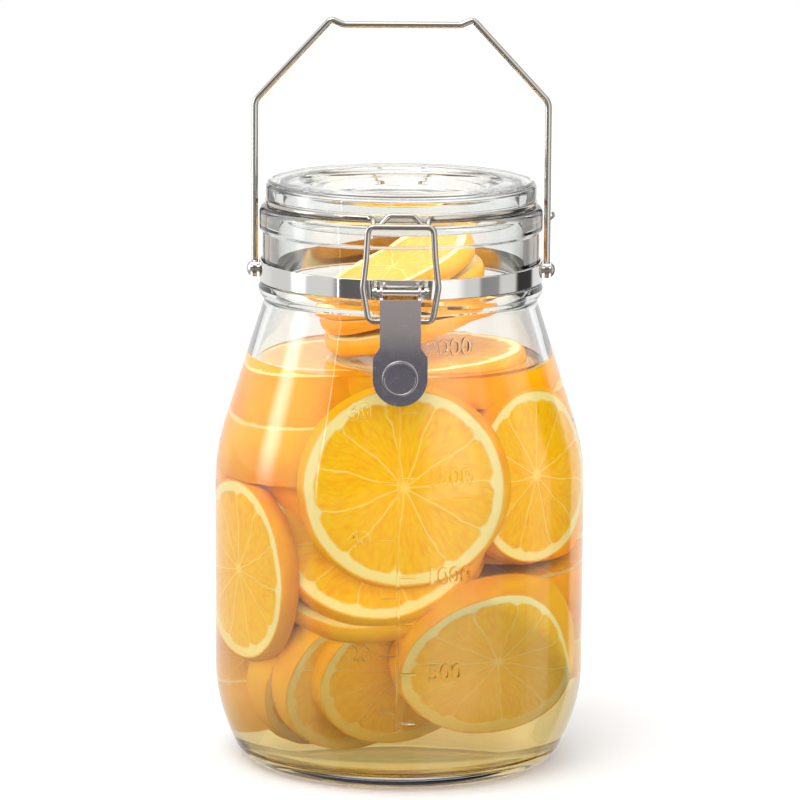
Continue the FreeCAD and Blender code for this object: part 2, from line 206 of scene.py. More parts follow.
def addSocket(group, name, direction, kind, value=None):
    socket = group.interface.new_socket(name=name, in_out=direction, socket_type=kind)
    if value is not None:
        socket.default_value = value
    return socket


# ---- glass
glassLook = {
    "tint": (250, 251, 249),
    "index": 1.5,
    "roughness": 0.0,
    "waviness": 0.05,
    "wavesPerMetre": 22.0,
}


def glassMaterial(name, look):
    material, tree, shader = newMaterial(name)
    shader.inputs["Base Color"].default_value = colour(*look["tint"])
    shader.inputs["Transmission Weight"].default_value = 1.0
    shader.inputs["Metallic"].default_value = 0.0
    shader.inputs["Roughness"].default_value = look["roughness"]
    shader.inputs["IOR"].default_value = look["index"]
    if look.get("waviness"):
        place = addNode(tree, "ShaderNodeTexCoord")
        waves = addNode(tree, "ShaderNodeTexNoise", Scale=look["wavesPerMetre"], Detail=1.0)
        bump = addNode(tree, "ShaderNodeBump", Strength=look["waviness"], Distance=0.002)
        tree.links.new(place.outputs["Object"], waves.inputs["Vector"])
        tree.links.new(waves.outputs["Fac"], bump.inputs["Height"])
        tree.links.new(bump.outputs["Normal"], shader.inputs["Normal"])
    return material


clearGlass = glassMaterial("clearGlass", glassLook)

# ---- jar
jarShape = {
    "steps": 192,
    "body": 70.0,
    "wall": 4.0,
    "mouth": 46.5,
    "floor": 6.0,
    "heelSpread": 9.6,
    "heelAngle": 68.0,
    "heelRound": 10.2,
    "bellyRound": 62,
    "shoulderFoot": 118.0,
    "shoulderAngle": 17.8,
    "shoulderRound": 72,
    "throatRound": 14,
    "level": 154.01,
    "climb": 0.4,
    "climbReach": 1.6,
    "edgeRound": 1.2,
    "reachIntoWall": 0.3,
}
shoulderSlope = math.tan(math.radians(jarShape["shoulderAngle"]))


def jarOutside():
    return [
        (0, 2.4, 0), (35.8, 2.4, 3), (43.0, 0, 2), (60.4, 0, 10.2), (70.0, 23.76, 62), (70.0, 118.0, 72),
        (51.6, 175.31, 7), (51.6, 176.85, 0.3), (52.75, 177.6, 0.6), (53.6, 179.2, 1.2), (53.65, 180.8, 1.2),
        (52.9, 182.6, 0.8), (52.2, 183.05, 0), (52.2, 202.0, 0.8), (53.3, 202.9, 0.8), (53.3, 211.55, 2.6),
        (48.0, 211.55, 0.5), (46.5, 210.05, 0.8),
    ]


# how far in the sloping shoulder starts, for a wall surface moved in by an offset
def shoulderStart(shape, offset):
    return shape["body"] - offset / math.cos(math.radians(shape["shoulderAngle"]))


def shoulderHeight(shape, offset, radius):
    return shape["shoulderFoot"] + (shoulderStart(shape, offset) - radius) / shoulderSlope


def shoulderRadius(shape, offset, height):
    return shoulderStart(shape, offset) - (height - shape["shoulderFoot"]) * shoulderSlope


# the inside of the wall, moved in by an offset from the outside
def jarInside(shape, offset):
    heelAngle = math.radians(shape["heelAngle"])
    rise = math.tan(heelAngle)
    throat = shape["mouth"]
    side = shape["body"] - offset
    floor = shape["floor"] + offset - shape["wall"]
    heel = shape["body"] - shape["heelSpread"] - offset / math.sin(heelAngle) + floor / rise
    return [
        (throat, shoulderHeight(shape, offset, throat), shape["throatRound"]),
        (side, shoulderHeight(shape, offset, side), shape["shoulderRound"]),
        (side, floor + (side - heel) * rise, shape["bellyRound"]),
        (heel, floor, shape["heelRound"]), (0, floor, 0),
    ]


def buildJar(shape):
    corners = jarOutside() + jarInside(shape, shape["wall"])
    return spunPiece("jarGlass", roundedOutline(corners, outlineStep), shape["steps"])


# the measuring scale pressed into the front: sizes in millimetres
scaleShape = {
    "line": (-0.3, 26.0, 152.0, 1.3),
    "rightTicks": [28.5, 46.9, 65.0, 83.4, 101.7, 120.0, 143.0],
    "leftTicks": [32.0, 53.5, 75.2, 96.8, 118.4],
    "tick": (0.6, 6.4, 0.9),
    "digits": [("500", 17.5, 46.9), ("1000", 18.5, 83.4), ("1500", 18.5, 120.0), ("2000", 18.5, 165.5),
               ("20", -14.8, 53.5), ("40", -14.8, 96.8), ("60", -14.8, 143.0)],
    "digitHeight": 6.2,
    "capShare": 0.72,
    "relief": 0.95,
    "sunk": 0.5,
    "bevel": 0.28,
    "bendLow": 106.0,
    "bendHigh": 130.0,
    "slope": 0.321,
    "longBar": 20,
    "cuts": 14,
    "cutStep": 3.3,
}


# radius of the outside at a height, good for the side, the bend above it and the shoulder
def outsideAt(height):
    low, high, slope = scaleShape["bendLow"], scaleShape["bendHigh"], scaleShape["slope"]
    if height < high:
        return jarShape["body"] - max(0.0, height - low) ** 2 * slope / (2 * (high - low))
    return jarShape["body"] - max(0.0, height - jarShape["shoulderFoot"]) * slope


def wrapOnJar(piece, shape):
    for vertex in piece.data.vertices:
        x, depth, z = vertex.co / mm
        radius = outsideAt(z) - depth
        angle = x / outsideAt(z)
        vertex.co = Vector((math.sin(angle) * radius, -math.cos(angle) * radius, z)) * mm
    return piece


def reliefBar(name, x, z, width, height, shape):
    selectNothing()
    middle = (shape["sunk"] - shape["relief"]) / 2
    bpy.ops.mesh.primitive_cube_add(size=1.0, location=(x * mm, middle * mm, z * mm))
    bar = bpy.context.object
    bar.name = name
    bar.scale = (width * mm, (shape["sunk"] + shape["relief"]) * mm, height * mm)
    applyPlace(bar)
    bpy.ops.object.mode_set(mode="EDIT")
    bpy.ops.mesh.select_all(action="SELECT")
    if height > shape["longBar"]:  # cut where it has to bend with the shoulder
        for step in range(shape["cuts"]):
            bpy.ops.mesh.select_all(action="SELECT")
            cut = (shape["bendLow"] + step * shape["cutStep"]) * mm
            bpy.ops.mesh.bisect(plane_co=(0, 0, cut), plane_no=(0, 0, 1))
    bpy.ops.object.mode_set(mode="OBJECT")
    return applyModifier(bar, "BEVEL", "soft", width=shape["bevel"] * mm * 1.5, segments=2,
                         limit_method="ANGLE", angle_limit=math.radians(60))


def reliefDigits(text, x, z, shape):
    selectNothing()
    bpy.ops.object.text_add()
    digits = bpy.context.object
    digits.data.body = text
    digits.data.align_x = "CENTER"
    digits.data.align_y = "CENTER"
    digits.data.size = shape["digitHeight"] * mm / shape["capShare"]
    digits.data.extrude = (shape["sunk"] + shape["relief"]) / 2 * mm
    digits.data.bevel_depth = shape["bevel"] * mm
    digits.data.bevel_resolution = 2
    digits.data.resolution_u = 4
    bpy.ops.object.convert(target="MESH")
    digits = bpy.context.object
    middle = (shape["sunk"] - shape["relief"]) / 2
    digits.matrix_world = (Matrix.Translation(Vector((x, middle, z)) * mm)
                           @ Matrix.Rotation(math.radians(90), 4, "X"))
    applyPlace(digits)
    bpy.ops.object.mode_set(mode="EDIT")
    bpy.ops.mesh.select_all(action="SELECT")
    bpy.ops.mesh.remove_doubles(threshold=0.000002)
    bpy.ops.mesh.normals_make_consistent(inside=False)
    bpy.ops.object.mode_set(mode="OBJECT")
    return digits


def buildScale(shape):
    x, low, high, width = shape["line"]
    pieces = [reliefBar("scaleLine", x, (low + high) / 2, width, high - low, shape)]
    start, end, height = shape["tick"]
    for z in shape["rightTicks"]:
        pieces.append(reliefBar("tick", (start + end) / 2, z, end - start, height, shape))
    for z in shape["leftTicks"]:
        pieces.append(reliefBar("tick", -(start + end) / 2 - 0.6, z, end - start, height, shape))
    for text, x, z in shape["digits"]:
        pieces.append(reliefDigits(text, x, z, shape))
    return [wrapOnJar(piece, shape) for piece in pieces]


def pressScale(jar, pieces):
    for piece in pieces:
        applyModifier(jar, "BOOLEAN", "press", operation="UNION", solver="MANIFOLD", object=piece)
        bpy.data.objects.remove(piece)
    return smooth(jar, 30)


jarGlass = pressScale(buildJar(jarShape), buildScale(scaleShape))
say("jar spun")

# ---- lid
lidShape = {
    "steps": 192,
    "outline": [
        (0, 205.55, 0), (43.5, 205.55, 1.2), (45.0, 213.0, 0.3), (45.3, 213.45, 0.2), (49.2, 213.45, 0.2),
        (49.2, 214.55, 0.2), (50.9, 214.55, 0.4), (50.9, 220.95, 2.7), (38.2, 220.95, 1.4), (36.6, 219.3, 0.8),
        (34.6, 218.2, 0.7), (33.4, 218.6, 0.5), (32.2, 217.9, 0.6), (29.8, 217.9, 0.9), (27.6, 215.2, 1.2),
        (24.6, 214.6, 0.8), (23.6, 214.9, 0.4), (22.6, 214.55, 0.4), (0, 214.55, 0),
    ],
}


def buildLid(shape):
    return spunPiece("lidGlass", roundedOutline(shape["outline"], outlineStep), shape["steps"])


lidGlass = buildLid(lidShape)
say("lid spun")

# ---- gasket
gasketLook = {"milk": (226, 226, 220), "index": 1.42, "roughness": 0.35, "clear": 0.55}


def rubberMaterial(look):
    material, tree, shader = newMaterial("gasketRubber")
    shader.inputs["Base Color"].default_value = colour(*look["milk"])
    shader.inputs["Roughness"].default_value = look["roughness"]
    shader.inputs["IOR"].default_value = look["index"]
    shader.inputs["Transmission Weight"].default_value = look["clear"]
    return material


gasketShape = {
    "steps": 128,
    "outline": [
        (48.0, 211.65, 0), (48.9, 211.65, 0.25), (49.05, 212.6, 0.25), (48.9, 213.45, 0.2), (46.8, 213.45, 0.2),
        (46.7, 212.6, 0.2), (46.8, 211.65, 0.25), (48.0, 211.65, 0),
    ],
}
gasketRing = spunPiece("gasketRing", roundedOutline(gasketShape["outline"], smallOutlineStep), gasketShape["steps"])

# ---- juice
juiceLook = {"index": 1.34, "absorb": (0.925, 0.735, 0.10), "density": 15.0}


def juiceMaterial(look):
    material, tree, shader = newMaterial("paleJuice")
    shader.inputs["Base Color"].default_value = (1, 1, 1, 1)
    shader.inputs["Transmission Weight"].default_value = 1.0
    shader.inputs["Metallic"].default_value = 0.0
    shader.inputs["Roughness"].default_value = 0.0
    shader.inputs["IOR"].default_value = look["index"]
    absorb = addNode(tree, "ShaderNodeVolumeAbsorption", Color=(*look["absorb"], 1.0), Density=look["density"])
    tree.links.new(absorb.outputs["Volume"], tree.nodes["Material Output"].inputs["Volume"])
    return material


# the juice reaches a little into the wall, and climbs a little up it
def buildJuice(shape):
    offset = shape["wall"] - shape["reachIntoWall"]
    level, top = shape["level"], shape["level"] + shape["climb"]
    surface = [
        (0, level, 0),
        (shoulderRadius(shape, offset, level) - shape["climbReach"], level, shape["edgeRound"]),
        (shoulderRadius(shape, offset, top), top, 0),
    ]
    corners = surface + jarInside(shape, offset)[1:]
    return spunPiece("juice", roundedOutline(corners, outlineStep), shape["steps"])


juice = buildJuice(jarShape)
say("juice spun")

# ---- citrus slices
sliceShape = {
    "steps": 96,
    "rings": [0.0, 0.16, 0.34, 0.54, 0.72, 0.84, 0.92, 0.965],
    "topThickness": 6.7,
    "bulge": 0.9,
    "rimShare": 0.9,
    "skinShare": 0.35,
    "unevenness": 1.4,
    "topUnevenness": 0.7,
    "cloudSize": 0.03,
    "glassClearance": 0.5,
    "shoulderClearance": 0.2,
    "shoulderFrom": 112,
    "footFrom": 26,
    "footRadius": 57.0,
    "footLow": 7,
    "footSlope": 0.45,
    "floorClearance": 0.4,
    "levelClearance": 0.8,
}
# each: name of the node it stands for, centre, radius, tilt to the right and back in degrees, turn
topSlices = [
    ("citrus_slice_1", (11.0, -7.0, 152.6), 36.0, 5.0, 2.0, 10),
    ("citrus_slice_2", (4.0, 3.0, 169.0), 34.0, 19.0, 6.0, 140),
    ("citrus_slice_3", (0.5, 5.0, 177.1), 33.0, 21.0, 5.0, 250),
    ("citrus_slice_4", (-2.0, 2.0, 185.4), 32.0, 23.0, 7.0, 40),
]
# each: centre, radius, thickness, the way its face looks, turn
sunkenSlices = [
    ((1.5, -49.0, 113.5), 37.5, 8.0, (0.02, -1.0, 0.05), 20),
    ((-50.0, -18.0, 76.0), 34.5, 8.0, (-0.94, -0.34, -0.02), 75),
    ((32.0, -32.5, 49.0), 35.5, 12.0, (0.25, -0.78, -0.57), 130),
    ((42.0, -24.5, 113.0), 32.5, 10.0, (0.8, -0.6, 0.04), 200),
    ((-7.0, -34.5, 94.0), 37.0, 9.0, (-0.1, -0.86, 0.5), 310),
    ((-9.0, -24.0, 82.0), 37.0, 9.0, (-0.18, -0.66, 0.73), 15),
    ((2.0, -22.0, 44.0), 33.0, 11.0, (0.34, -0.76, -0.5), 95),
    ((-11.0, -19.0, 42.0), 33.0, 11.0, (0.4, -0.74, -0.46), 222),
    ((-22.0, -11.0, 40.0), 29.0, 11.0, (0.44, -0.72, -0.4), 160),
    ((-23.0, 1.0, 142.0), 36.0, 19.5, (-0.05, -0.03, 1.0), 61),
    ((-25.0, -5.0, 123.0), 36.0, 20.5, (-0.08, -0.04, 1.0), 33),
    ((-17.0, -1.0, 103.0), 37.0, 21.0, (-0.1, -0.02, 0.99), 284),
    ((-12.0, 5.0, 84.0), 36.0, 20.0, (-0.1, 0.0, 1.0), 12),
    ((-11.0, 6.0, 65.0), 37.0, 20.0, (-0.08, -0.05, 1.0), 12),
    ((10.0, -5.0, 145.5), 40.0, 12.0, (0.03, 0.02, 1.0), 170),
    ((5.0, 0.0, 130.0), 37.0, 16.0, (0.05, 0.03, 1.0), 70),
    ((12.0, 6.0, 111.0), 37.0, 18.0, (0.14, 0.05, 0.99), 148),
    ((14.0, 6.0, 92.0), 37.0, 17.0, (0.16, 0.0, 0.99), 350),
    ((22.0, 8.0, 70.0), 38.0, 16.0, (0.12, -0.05, 0.99), 77),
    ((-6.0, 26.0, 42.0), 36.0, 14.0, (-0.12, -0.1, 0.99), 256),
    ((10.0, 26.0, 58.0), 36.0, 15.0, (0.1, -0.05, 0.99), 118),
    ((-10.0, 27.0, 75.0), 36.0, 16.0, (-0.1, 0.0, 1.0), 305),
    ((4.0, 27.0, 92.0), 36.0, 16.0, (0.08, 0.0, 1.0), 48),
    ((-6.0, 27.0, 109.0), 36.0, 16.0, (-0.06, 0.0, 1.0), 190),
    ((6.0, 24.0, 126.0), 35.0, 16.0, (0.08, 0.0, 1.0), 263),
    ((30.0, 14.0, 46.0), 31.0, 14.0, (0.3, -0.1, 0.94), 84),
    ((-38.0, 12.0, 30.0), 27.0, 17.0, (-0.34, -0.14, 0.93), 184),
]


# flat faces and a slightly bulging skin, spun from half its outline
def sliceDisc(name, radius, thickness, shape):
    half = thickness / 2
    low = [(share * radius, -half) for share in shape["rings"]]
    rim, skinHalf = half * shape["rimShare"], half * shape["skinShare"]
    skin = [(radius - shape["bulge"], -rim), (radius, -skinHalf), (radius, skinHalf), (radius - shape["bulge"], rim)]
    high = [(share * radius, half) for share in reversed(shape["rings"])]
    disc = spunPiece(name, low + skin + high, shape["steps"])
    layer = disc.data.uv_layers.get("sliceMap") or disc.data.uv_layers.new(name="sliceMap")
    for loop in disc.data.loops:
        place = disc.data.vertices[loop.vertex_index].co / (radius * mm)
        layer.data[loop.index].uv = (place.x, place.y)
    return disc


def placeSlice(disc, centre, turning, unevenness, seed):
    disc.matrix_world = Matrix.Translation(Vector(centre) * mm) @ turning.to_4x4()
    applyPlace(disc)
    clouds = bpy.data.textures.new(f"sliceClouds{seed}", "CLOUDS")
    clouds.noise_scale = sliceShape["cloudSize"]
    applyModifier(disc, "DISPLACE", "uneven", texture=clouds, texture_coords="GLOBAL",
                  strength=unevenness * mm, mid_level=0.5)
    return disc


def buildTopSlice(entry, shape):
    node, centre, radius, right, back, turn = entry
    disc = sliceDisc(node.replace("citrus_", "top_"), radius, shape["topThickness"], shape)
    turning = (Matrix.Rotation(math.radians(back), 3, "X") @ Matrix.Rotation(-math.radians(right), 3, "Y")
               @ Matrix.Rotation(math.radians(turn), 3, "Z"))
    return placeSlice(disc, centre, turning, shape["topUnevenness"], node)


def buildSunkenSlice(number, entry, shape):
    centre, radius, thickness, facing, turn = entry
    disc = sliceDisc(f"sunkenSlice{number}", radius, thickness, shape)
    turning = (Vector(facing).to_track_quat("Z", "Y").to_matrix()
               @ Matrix.Rotation(math.radians(turn), 3, "Z"))
    return placeSlice(disc, centre, turning, shape["unevenness"], number)


# soft fruit gives way where it meets the glass, the floor or the surface
def pressInside(piece, jarSizes, sizes):
    side = jarSizes["body"] - jarSizes["wall"] - sizes["glassClearance"]
    lowest = (jarSizes["floor"] + sizes["floorClearance"]) * mm
    highest = (jarSizes["level"] - sizes["levelClearance"]) * mm
    for vertex in piece.data.vertices:
        x, y, z = vertex.co / mm
        space = side
        if z > sizes["shoulderFrom"]:
            space = min(side, side - sizes["shoulderClearance"] - (z - jarSizes["shoulderFoot"]) * shoulderSlope)
        if z < sizes["footFrom"]:
            space = min(space, sizes["footRadius"] + (z - sizes["footLow"]) * sizes["footSlope"])
        reach = math.hypot(x, y)
        if reach > space:
            vertex.co.x *= space / reach
            vertex.co.y *= space / reach
        vertex.co.z = min(max(vertex.co.z, lowest), highest)


topDiscs = [buildTopSlice(entry, sliceShape) for entry in topSlices]
sunken = joinPieces([buildSunkenSlice(number, entry, sliceShape)
                     for number, entry in enumerate(sunkenSlices)], "sunkenSlices")
pressInside(sunken, jarShape, sliceShape)
say("slices cut")

# ---- citrus material
sliceLook = {
    "fleshDeep": (252, 172, 0),
    "fleshLight": (255, 206, 10),
    "membrane": (255, 226, 120),
    "pith": (255, 238, 166),
    "peel": (255, 190, 0),
    "peelDeep": (255, 162, 0),
    "murk": (244, 208, 96),
    "murkLow": 0.012,
    "murkHigh": 0.075,
    "murkShare": 0.55,
    "membraneShare": 0.8,
    "segments": 11.0,
    "roughness": 0.3,
    "relief": 0.3,
}


# shares of the slice's radius, unless it says otherwise
patternSizes = {
    "fine": 260.0,
    "wander": 70.0,
    "swayAround": 0.09,
    "swayOut": 0.35,
    "swayTurn": 3.0,
    "line": (0.002, 0.013),
    "core": (0.035, 0.085),
    "corner": 0.09,
    "cornerDepth": 0.035,
    "fuzz": 0.05,
    "pith": (0.835, 0.87),
    "peel": (0.935, 0.965),
    "grainsAround": 9.5,
    "grainsOut": 5.0,
    "grainScale": 2.2,
    "pores": 900.0,
}


# reads the slice's own round map and puts out masks for its parts
def citrusPatternGroup(sizes):
    group = bpy.data.node_groups.new("citrusPattern", "ShaderNodeTree")
    addSocket(group, "Map", "INPUT", "NodeSocketVector")
    addSocket(group, "Place", "INPUT", "NodeSocketVector")
    addSocket(group, "Segments", "INPUT", "NodeSocketFloat", 10.0)
    for name in ("Membrane", "Pith", "Peel", "Pulp", "Height"):
        addSocket(group, name, "OUTPUT", "NodeSocketFloat")
    links = group.links
    entry = group.nodes.new("NodeGroupInput")
    leave = group.nodes.new("NodeGroupOutput")
    fine = addNode(group, "ShaderNodeTexNoise", Scale=sizes["fine"], Detail=3.0)
    links.new(entry.outputs["Place"], fine.inputs["Vector"])
    wander = addNode(group, "ShaderNodeTexNoise", Scale=sizes["wander"], Detail=2.0)
    links.new(entry.outputs["Place"], wander.inputs["Vector"])
    parts = group.nodes.new("ShaderNodeSeparateXYZ")
    links.new(entry.outputs["Map"], parts.inputs[0])
    across, along = parts.outputs[0], parts.outputs[1]
    squares = maths(group, "ADD", maths(group, "MULTIPLY", across, across), maths(group, "MULTIPLY", along, along))
    radius = maths(group, "SQRT", squares)
    sway = maths(group, "MULTIPLY", maths(group, "SUBTRACT", wander.outputs["Fac"], 0.5), sizes["swayAround"])
    out = maths(group, "ADD", radius, maths(group, "MULTIPLY", sway, sizes["swayOut"]))
    angle = maths(group, "ADD", maths(group, "ARCTAN2", along, across),
                  maths(group, "MULTIPLY", sway, sizes["swayTurn"]))
    share = maths(group, "FRACT", maths(group, "ADD",
                  maths(group, "MULTIPLY", maths(group, "DIVIDE", angle, math.tau), entry.outputs["Segments"]), 0.5))
    fromEdge = maths(group, "MINIMUM", share, maths(group, "SUBTRACT", 1.0, share))
    width = maths(group, "DIVIDE", maths(group, "MULTIPLY", radius, math.tau), entry.outputs["Segments"])
    gap = maths(group, "MULTIPLY", fromEdge, width)
    line = maths(group, "SUBTRACT", 1.0, softStep(group, gap, *sizes["line"]))
    core = maths(group, "SUBTRACT", 1.0, softStep(group, out, *sizes["core"]))
    membrane = maths(group, "MAXIMUM", line, core)
    corner = maths(group, "MULTIPLY",
                   maths(group, "SUBTRACT", 1.0, softStep(group, gap, 0.0, sizes["corner"])), sizes["cornerDepth"])
    fuzz = maths(group, "MULTIPLY", maths(group, "SUBTRACT", fine.outputs["Fac"], 0.5), sizes["fuzz"])
    pith = softStep(group, maths(group, "ADD", maths(group, "ADD", out, corner), fuzz), *sizes["pith"])
    peel = softStep(group, out, *sizes["peel"])
    polar = group.nodes.new("ShaderNodeCombineXYZ")
    links.new(maths(group, "MULTIPLY", angle, sizes["grainsAround"]), polar.inputs[0])
    links.new(maths(group, "MULTIPLY", out, sizes["grainsOut"]), polar.inputs[1])
    grains = addNode(group, "ShaderNodeTexVoronoi", Scale=sizes["grainScale"])
    links.new(polar.outputs[0], grains.inputs["Vector"])
    pulp = maths(group, "ADD", maths(group, "MULTIPLY", grains.outputs["Distance"], 0.75),
                 maths(group, "MULTIPLY", maths(group, "SUBTRACT", fine.outputs["Fac"], 0.5), 0.55))
    flesh = maths(group, "MULTIPLY", maths(group, "SUBTRACT", 1.0, pulp), 0.55)
    raised = maths(group, "MAXIMUM", maths(group, "MULTIPLY", membrane, 0.75), maths(group, "MULTIPLY", pith, 0.9))
    height = maths(group, "MAXIMUM", flesh, raised)
    pores = addNode(group, "ShaderNodeTexVoronoi", Scale=sizes["pores"])
    links.new(entry.outputs["Place"], pores.inputs["Vector"])
    dimple = maths(group, "MULTIPLY", maths(group, "MULTIPLY", peel, 0.3),
                   maths(group, "SUBTRACT", 1.0, softStep(group, pores.outputs["Distance"], 0.0, 0.4)))
    for name, value in (("Membrane", membrane), ("Pith", pith), ("Peel", peel), ("Pulp", pulp),
                        ("Height", maths(group, "SUBTRACT", height, dimple))):
        links.new(value, leave.inputs[name])
    return group


citrusPattern = citrusPatternGroup(patternSizes)


def citrusMaterial(name, look, sheen):
    material, tree, shader = newMaterial(name)
    ownMap = addNode(tree, "ShaderNodeUVMap", uv_map="sliceMap")
    place = addNode(tree, "ShaderNodeTexCoord")
    pattern = tree.nodes.new("ShaderNodeGroup")
    pattern.node_tree = citrusPattern
    pattern.inputs["Segments"].default_value = look["segments"]
    tree.links.new(ownMap.outputs["UV"], pattern.inputs["Map"])
    tree.links.new(place.outputs["Object"], pattern.inputs["Place"])
    patches = addNode(tree, "ShaderNodeTexNoise", Scale=35.0, Detail=2.0)
    tree.links.new(place.outputs["Object"], patches.inputs["Vector"])
    flesh = mixColours(tree, softStep(tree, pattern.outputs["Pulp"], 0.0, 1.0),
                       colour(*look["fleshLight"]), colour(*look["fleshDeep"]))
    thin = maths(tree, "MULTIPLY", pattern.outputs["Membrane"], look["membraneShare"])
    flesh = mixColours(tree, thin, flesh, colour(*look["membrane"]))
    flesh = mixColours(tree, pattern.outputs["Pith"], flesh, colour(*look["pith"]))
    peel = mixColours(tree, softStep(tree, patches.outputs["Fac"], 0.35, 0.7),
                      colour(*look["peel"]), colour(*look["peelDeep"]))
    fruit = mixColours(tree, pattern.outputs["Peel"], flesh, peel)
    parts = tree.nodes.new("ShaderNodeSeparateXYZ")
    tree.links.new(place.outputs["Object"], parts.inputs[0])
    raised = softStep(tree, parts.outputs[2], look["murkLow"], look["murkHigh"])
    low = maths(tree, "MULTIPLY", maths(tree, "SUBTRACT", 1.0, raised), look["murkShare"])
    tree.links.new(mixColours(tree, low, fruit, colour(*look["murk"])), shader.inputs["Base Color"])
    shader.inputs["Roughness"].default_value = look["roughness"]
    shader.inputs["Specular IOR Level"].default_value = sheen
    bump = addNode(tree, "ShaderNodeBump", Strength=look["relief"], Distance=0.0012)
    tree.links.new(pattern.outputs["Height"], bump.inputs["Height"])
    tree.links.new(bump.outputs["Normal"], shader.inputs["Normal"])
    return material


# slices out of the juice have no tint of it over them, so they are deeper coloured themselves
wetLook = dict(sliceLook, fleshDeep=(236, 154, 10), fleshLight=(244, 184, 44), membrane=(246, 214, 122),
               pith=(252, 232, 168), peel=(244, 168, 24), peelDeep=(240, 150, 12))
wetFruit = citrusMaterial("wetFruit", wetLook, 0.45)
sunkenFruit = citrusMaterial("sunkenFruit", sliceLook, 0.0)  # juice round it takes its shine away
say("fruit painted")

# ---- steel
steelLooks = {
    "brightWire": {"colour": (196, 190, 182), "roughness": 0.14, "grain": 0.02},
    "bandSteel": {"colour": (214, 212, 208), "roughness": 0.07, "grain": 0.015},
    # painted shade: below the crease the lever's tab is painted a darker, bluish grey, as its tilt turns it from the
    # light
    "leverSteel": {"colour": (226, 216, 214), "roughness": 0.24, "grain": 0.02, "shadedTab": (178, 172, 186),
                   "shadeFadeLow": 0.161, "shadeFadeHigh": 0.175},
}


steelGrain = {"scale": 420.0, "smoothest": 0.75, "roughest": 1.35, "depth": 0.0003}


def steelMaterial(name, look, grainLook):
    material, tree, shader = newMaterial(name)
    shader.inputs["Base Color"].default_value = colour(*look["colour"])
    shader.inputs["Metallic"].default_value = 1.0
    place = addNode(tree, "ShaderNodeTexCoord")
    # painted shade: below a given height the steel fades to a darker, shaded colour
    if "shadedTab" in look:
        parts = tree.nodes.new("ShaderNodeSeparateXYZ")
        tree.links.new(place.outputs["Object"], parts.inputs[0])
        raised = softStep(tree, parts.outputs[2], look["shadeFadeLow"], look["shadeFadeHigh"])
        tree.links.new(mixColours(tree, raised, colour(*look["shadedTab"]), colour(*look["colour"])),
                       shader.inputs["Base Color"])
    grain = addNode(tree, "ShaderNodeTexNoise", Scale=grainLook["scale"], Detail=3.0)
    tree.links.new(place.outputs["Object"], grain.inputs["Vector"])
    low, high = look["roughness"] * grainLook["smoothest"], look["roughness"] * grainLook["roughest"]
    worn = addNode(tree, "ShaderNodeMapRange")
    worn.inputs["To Min"].default_value = low
    worn.inputs["To Max"].default_value = high
    tree.links.new(grain.outputs["Fac"], worn.inputs["Value"])
    tree.links.new(worn.outputs["Result"], shader.inputs["Roughness"])
    bump = addNode(tree, "ShaderNodeBump", Strength=look["grain"], Distance=grainLook["depth"])
    tree.links.new(grain.outputs["Fac"], bump.inputs["Height"])
    tree.links.new(bump.outputs["Normal"], shader.inputs["Normal"])
    return material


steels = {name: steelMaterial(name, look, steelGrain) for name, look in steelLooks.items()}

# ---- latch lever, its edges rounded over, with a bright pressed ring
leverShape = {
    "edge": 0.34,
    "ringRadius": 6.1,
    "ringWidth": 0.95,
    "ringHeight": 0.5,
    "ringSunk": 0.1,
    "ringRound": 0.3,
    "ringSteps": 64,
    "tabLength": 21.0,
    "tabLean": 3.6,
    "ringUp": 10.0,
    "ringAlong": 9.7,
}


def carryOver(nodeName, name):
    selectNothing()
    piece = nodes[nodeName].copy()
    piece.data = nodes[nodeName].data.copy()
    bpy.context.collection.objects.link(piece)
    piece.name = name
    piece.data.name = name
    pick(piece)
    bpy.ops.object.mode_set(mode="EDIT")
    bpy.ops.mesh.select_all(action="SELECT")
    bpy.ops.mesh.remove_doubles(threshold=0.00001)
    bpy.ops.mesh.dissolve_limited(angle_limit=math.radians(0.5))
    bpy.ops.object.mode_set(mode="OBJECT")
    return piece


def buildLever(shape):
    lever = carryOver("latch_lever", "latchLever")
    applyModifier(lever, "BEVEL", "edges", width=shape["edge"] * mm, segments=2,
                  limit_method="ANGLE", angle_limit=math.radians(38))
    smooth(lever, 60)
    return applyModifier(lever, "WEIGHTED_NORMAL", "flatter", keep_sharp=True, weight=100)


def buildLeverRing(shape):
    radius, half, height = shape["ringRadius"], shape["ringWidth"] / 2, shape["ringHeight"]
    foot, rounding = -shape["ringSunk"], shape["ringRound"]
    ring = spunPiece("leverRing", roundedOutline([
        (radius - half, foot, 0), (radius - half, height, rounding), (radius + half, height, rounding),
        (radius + half, foot, 0), (radius - half, foot, 0)], smallOutlineStep), shape["ringSteps"])
    low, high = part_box("latch_lever")
    tilt = math.atan2(shape["tabLean"], shape["tabLength"])
    centre = (Vector((0, low[1], low[2])) + Vector((0, 0, shape["ringUp"] * mm))
              + Vector((0, math.tan(tilt) * shape["ringAlong"] * mm, 0)))
    ring.matrix_world = Matrix.Translation(centre) @ Matrix.Rotation(math.radians(90) - tilt, 4, "X")
    return applyPlace(ring)


latchLever = buildLever(leverShape)
leverRing = buildLeverRing(leverShape)
say("lever finished")

# ---- pieces on their bodies
rubber = rubberMaterial(gasketLook)
paleJuice = juiceMaterial(juiceLook)


def dress(piece, material, body, slotName, *stoodFor):
    piece.data.materials.clear()
    piece.data.materials.append(material)
    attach(piece, body)
    if stoodFor:
        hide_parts(*stoodFor)


dress(jarGlass, clearGlass, "jar_body", "clear_glass", "jar")
dress(lidGlass, clearGlass, "lid_body", "clear_glass", "lid")
dress(gasketRing, rubber, "lid_body", "clear_rubber", "gasket")
dress(juice, paleJuice, "jar_body", "pale_juice", "liquid")
for entry, disc in zip(topSlices, topDiscs):
    dress(disc, wetFruit, "jar_body", "citrus_fruit", entry[0])
dress(sunken, sunkenFruit, "jar_body", "citrus_fruit")

dress(latchLever, steels["leverSteel"], "lever_body", "lever_steel", "latch_lever")
dress(leverRing, steels["brightWire"], "lever_body", "lever_steel")

